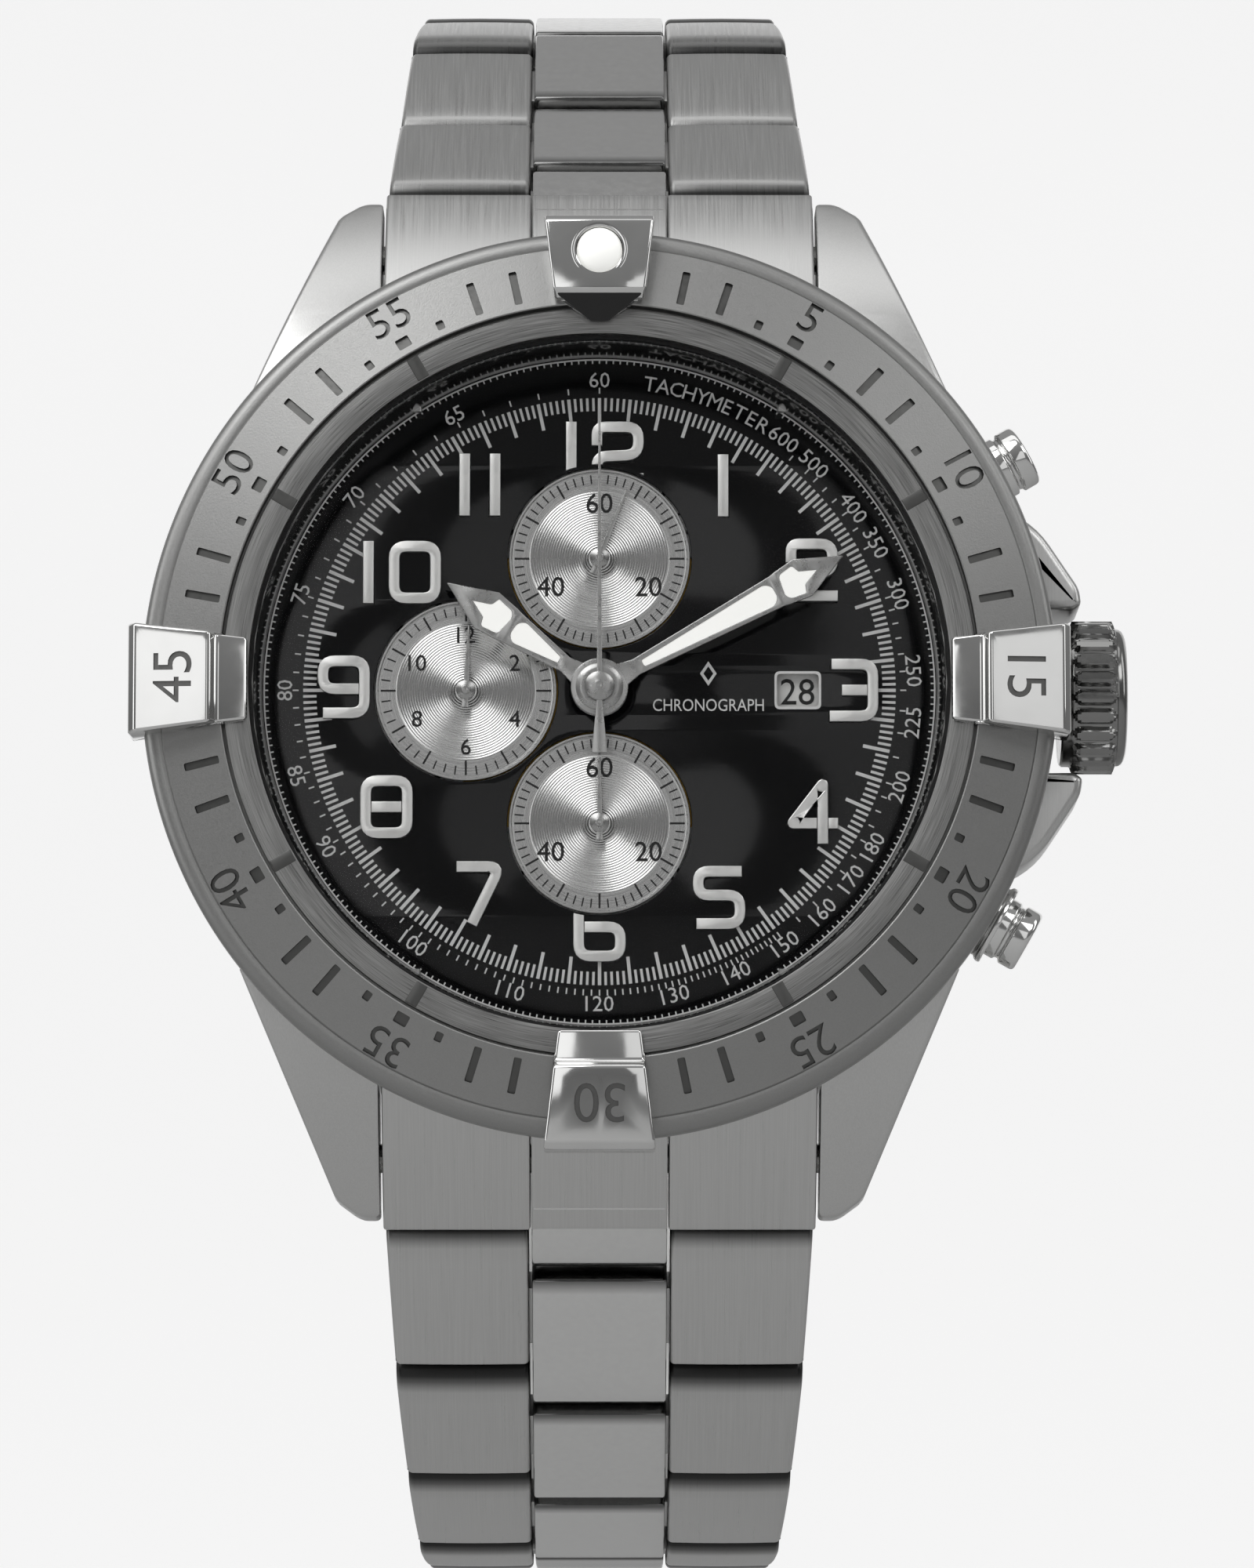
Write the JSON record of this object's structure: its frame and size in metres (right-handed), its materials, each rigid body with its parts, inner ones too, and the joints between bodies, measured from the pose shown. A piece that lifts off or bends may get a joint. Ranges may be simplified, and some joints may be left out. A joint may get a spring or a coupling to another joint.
{
  "type": "chronograph wristwatch",
  "caption": "Steel chronograph wristwatch with a turning bezel, crown, push buttons, counters and a three-row bracelet with a folding clasp.",
  "frame": {"origin": "middle of the case back's flat outer face, where the watch rests on the wrist", "axes": "the dial faces -Y, +Z points to 12 o'clock, +X points to the crown at 3 o'clock"},
  "size_m": [0.0503, 0.0757, 0.0852],
  "materials": {
    "satin_steel": "satin brushed stainless steel",
    "polished_steel": "mirror polished stainless steel",
    "blasted_steel": "bead blasted stainless steel",
    "black_dial": "black lacquer with white print",
    "silver_counter": "silvered, with concentric grooves",
    "lume": "luminous filling",
    "white_print": "white printed and applied markings",
    "crystal": "clear, anti-reflective",
    "black_rubber": "moulded seal",
    "brass": "machined, gilt",
    "copper": "wound enamelled copper wire",
    "circuit_board": "solder mask",
    "spring_steel": "drawn wire and turned pins",
    "white_plastic": "moulded"
  },
  "bodies": {
    "case": {"case_middle": "satin_steel", "case_back": "satin_steel", "case_back_gasket": "black_rubber", "crystal": "crystal", "crystal_gasket": "black_rubber", "dial_ring": "polished_steel", "dial": "black_dial", "subdial_12": "silver_counter", "subdial_9": "silver_counter", "subdial_6": "silver_counter", "movement_ring": "white_plastic", "main_plate": "brass", "train_bridge": "brass", "circuit_board": "circuit_board", "battery": "spring_steel", "motor_coil": "copper", "end_link_12": "satin_steel", "end_link_6": "satin_steel", "spring_bar_12": "spring_steel", "spring_bar_6": "spring_steel", "bezel_click_spring": "spring_steel"},
    "bezel": {"bezel_ring": "blasted_steel", "bezel_inner_ring": "satin_steel", "bezel_rider_12": "polished_steel", "bezel_rider_3": "polished_steel", "bezel_rider_6": "polished_steel", "bezel_rider_9": "polished_steel", "lume_pip": "lume"},
    "hour_hand": {"hour_hand": "polished_steel"},
    "minute_hand": {"minute_hand": "polished_steel"},
    "chrono_hand": {"chrono_hand": "polished_steel"},
    "subhand_12": {"subhand_12": "polished_steel"},
    "subhand_9": {"subhand_9": "polished_steel"},
    "subhand_6": {"subhand_6": "polished_steel"},
    "date_disc": {"date_disc": "white_print"},
    "pusher_2": {"pusher_2": "polished_steel"},
    "pusher_4": {"pusher_4": "polished_steel"},
    "stem": {"winding_stem": "spring_steel"},
    "crown": {"crown": "polished_steel"},
    "link_12_1": {"link_12_1": "satin_steel"},
    "link_12_2": {"link_12_2": "satin_steel"},
    "link_12_3": {"link_12_3": "satin_steel"},
    "link_12_4": {"link_12_4": "satin_steel"},
    "link_12_5": {"link_12_5": "satin_steel"},
    "link_12_6": {"link_12_6": "satin_steel"},
    "link_12_7": {"link_12_7": "satin_steel"},
    "link_12_8": {"link_12_8": "satin_steel"},
    "link_6_1": {"link_6_1": "satin_steel"},
    "link_6_2": {"link_6_2": "satin_steel"},
    "link_6_3": {"link_6_3": "satin_steel"},
    "link_6_4": {"link_6_4": "satin_steel"},
    "link_6_5": {"link_6_5": "satin_steel"},
    "link_6_6": {"link_6_6": "satin_steel"},
    "link_6_7": {"link_6_7": "satin_steel"},
    "link_6_8": {"link_6_8": "satin_steel"},
    "clasp_cover": {"clasp_cover": "satin_steel"},
    "clasp_blade_1": {"clasp_blade_1": "polished_steel"},
    "clasp_blade_2": {"clasp_blade_2": "polished_steel"},
    "clasp_button_right": {"clasp_button_right": "polished_steel"},
    "clasp_button_left": {"clasp_button_left": "polished_steel"}
  },
  "joints": [
    {"name": "bezel_turn", "type": "hinge", "parent": "case", "child": "bezel", "pos_m": [0, -0.0105, 0], "axis": [0, 1, 0], "continuous": true},
    {"name": "minute_turn", "type": "hinge", "parent": "case", "child": "minute_hand", "pos_m": [0, -0.009, 0], "axis": [0, 1, 0], "continuous": true},
    {"name": "hour_turn", "type": "hinge", "parent": "case", "child": "hour_hand", "pos_m": [0, -0.009, 0], "axis": [0, 1, 0], "continuous": true},
    {"name": "small_seconds_turn", "type": "hinge", "parent": "case", "child": "subhand_12", "pos_m": [0, -0.0083, 0.00675], "axis": [0, 1, 0], "continuous": true},
    {"name": "chrono_turn", "type": "hinge", "parent": "case", "child": "chrono_hand", "pos_m": [0, -0.0097, 0], "axis": [0, 1, 0], "continuous": true},
    {"name": "counter_60_turn", "type": "hinge", "parent": "case", "child": "subhand_6", "pos_m": [0, -0.0083, -0.00675], "axis": [0, 1, 0], "continuous": true},
    {"name": "counter_12h_turn", "type": "hinge", "parent": "case", "child": "subhand_9", "pos_m": [-0.00675, -0.0083, 0], "axis": [0, 1, 0], "continuous": true},
    {"name": "date_turn", "type": "hinge", "parent": "case", "child": "date_disc", "pos_m": [0, -0.0073, 0], "axis": [0, 1, 0], "continuous": true},
    {"name": "crown_pull", "type": "slide", "parent": "case", "child": "stem", "axis": [1, 0, 0], "range_m": [0, 0.0018]},
    {"name": "crown_turn", "type": "hinge", "parent": "stem", "child": "crown", "pos_m": [0.0253, -0.0052, 0], "axis": [1, 0, 0], "continuous": true},
    {"name": "pusher_2_press", "type": "slide", "parent": "case", "child": "pusher_2", "axis": [-0.866, 0, -0.5], "range_m": [0, 0.001], "stiffness_N_per_m": 3000, "springref_m": -0.0005},
    {"name": "pusher_4_press", "type": "slide", "parent": "case", "child": "pusher_4", "axis": [-0.866, 0, 0.5], "range_m": [0, 0.001], "stiffness_N_per_m": 3000, "springref_m": -0.0005},
    {"name": "link_12_1_hinge", "type": "hinge", "parent": "case", "child": "link_12_1", "pos_m": [0, 0.00087, 0.02704], "axis": [1, 0, 0], "range_deg": [0, 10.9]},
    {"name": "link_12_2_hinge", "type": "hinge", "parent": "link_12_1", "child": "link_12_2", "pos_m": [0, 0.00858, 0.03205], "axis": [1, 0, 0], "range_deg": [0, 4]},
    {"name": "link_12_3_hinge", "type": "hinge", "parent": "link_12_2", "child": "link_12_3", "pos_m": [0, 0.01588, 0.03765], "axis": [1, 0, 0], "range_deg": [0, 19]},
    {"name": "link_12_4_hinge", "type": "hinge", "parent": "link_12_3", "child": "link_12_4", "pos_m": [0, 0.02461, 0.04057], "axis": [1, 0, 0], "range_deg": [0, 16.5]},
    {"name": "link_12_5_hinge", "type": "hinge", "parent": "link_12_4", "child": "link_12_5", "pos_m": [0, 0.0338, 0.04089], "axis": [1, 0, 0], "range_deg": [0, 18]},
    {"name": "link_12_6_hinge", "type": "hinge", "parent": "link_12_5", "child": "link_12_6", "pos_m": [0, 0.04264, 0.03836], "axis": [1, 0, 0], "range_deg": [0, 19]},
    {"name": "link_12_7_hinge", "type": "hinge", "parent": "link_12_6", "child": "link_12_7", "pos_m": [0, 0.05018, 0.03308], "axis": [1, 0, 0], "range_deg": [0, 19]},
    {"name": "link_12_8_hinge", "type": "hinge", "parent": "link_12_7", "child": "link_12_8", "pos_m": [0, 0.05559, 0.02564], "axis": [1, 0, 0], "range_deg": [0, 18]},
    {"name": "link_6_1_hinge", "type": "hinge", "parent": "case", "child": "link_6_1", "pos_m": [0, 0.00087, -0.02704], "axis": [-1, 0, 0], "range_deg": [0, 4]},
    {"name": "link_6_2_hinge", "type": "hinge", "parent": "link_6_1", "child": "link_6_2", "pos_m": [0, 0.0072, -0.03371], "axis": [-1, 0, 0], "range_deg": [0, 16.5]},
    {"name": "link_6_3_hinge", "type": "hinge", "parent": "link_6_2", "child": "link_6_3", "pos_m": [0, 0.01517, -0.03831], "axis": [-1, 0, 0], "range_deg": [0, 12]},
    {"name": "link_6_4_hinge", "type": "hinge", "parent": "link_6_3", "child": "link_6_4", "pos_m": [0, 0.02392, -0.04116], "axis": [-1, 0, 0], "range_deg": [0, 16]},
    {"name": "link_6_5_hinge", "type": "hinge", "parent": "link_6_4", "child": "link_6_5", "pos_m": [0, 0.03311, -0.04148], "axis": [-1, 0, 0], "range_deg": [0, 17]},
    {"name": "link_6_6_hinge", "type": "hinge", "parent": "link_6_5", "child": "link_6_6", "pos_m": [0, 0.042, -0.0391], "axis": [-1, 0, 0], "range_deg": [0, 19]},
    {"name": "link_6_7_hinge", "type": "hinge", "parent": "link_6_6", "child": "link_6_7", "pos_m": [0, 0.04962, -0.03395], "axis": [-1, 0, 0], "range_deg": [0, 19]},
    {"name": "link_6_8_hinge", "type": "hinge", "parent": "link_6_7", "child": "link_6_8", "pos_m": [0, 0.05516, -0.0266], "axis": [-1, 0, 0], "range_deg": [0, 19]},
    {"name": "clasp_cover_hinge", "type": "hinge", "parent": "link_12_8", "child": "clasp_cover", "pos_m": [0, 0.05843, 0.01689], "axis": [1, 0, 0], "range_deg": [0, 45]},
    {"name": "clasp_blade_1_fold", "type": "hinge", "parent": "clasp_cover", "child": "clasp_blade_1", "pos_m": [0, 0.05908, -0.01375], "axis": [1, 0, 0], "range_deg": [0, 95]},
    {"name": "clasp_blade_2_fold", "type": "hinge", "parent": "clasp_blade_1", "child": "clasp_blade_2", "pos_m": [0, 0.05884, 0.01224], "axis": [-1, 0, 0], "range_deg": [0, 120]},
    {"name": "clasp_button_right_press", "type": "slide", "parent": "clasp_cover", "child": "clasp_button_right", "axis": [-1, 0, 0], "range_m": [0, 0.0006], "stiffness_N_per_m": 2000, "springref_m": -0.0005},
    {"name": "clasp_button_left_press", "type": "slide", "parent": "clasp_cover", "child": "clasp_button_left", "axis": [1, 0, 0], "range_m": [0, 0.0006], "stiffness_N_per_m": 2000, "springref_m": -0.0005}
  ],
  "couplings": [
    {"joint": "hour_turn", "follows": "minute_turn", "ratio": 0.083333},
    {"joint": "small_seconds_turn", "follows": "minute_turn", "ratio": 60},
    {"joint": "counter_60_turn", "follows": "chrono_turn", "ratio": 0.016667},
    {"joint": "counter_12h_turn", "follows": "chrono_turn", "ratio": 0.0013889}
  ]
}
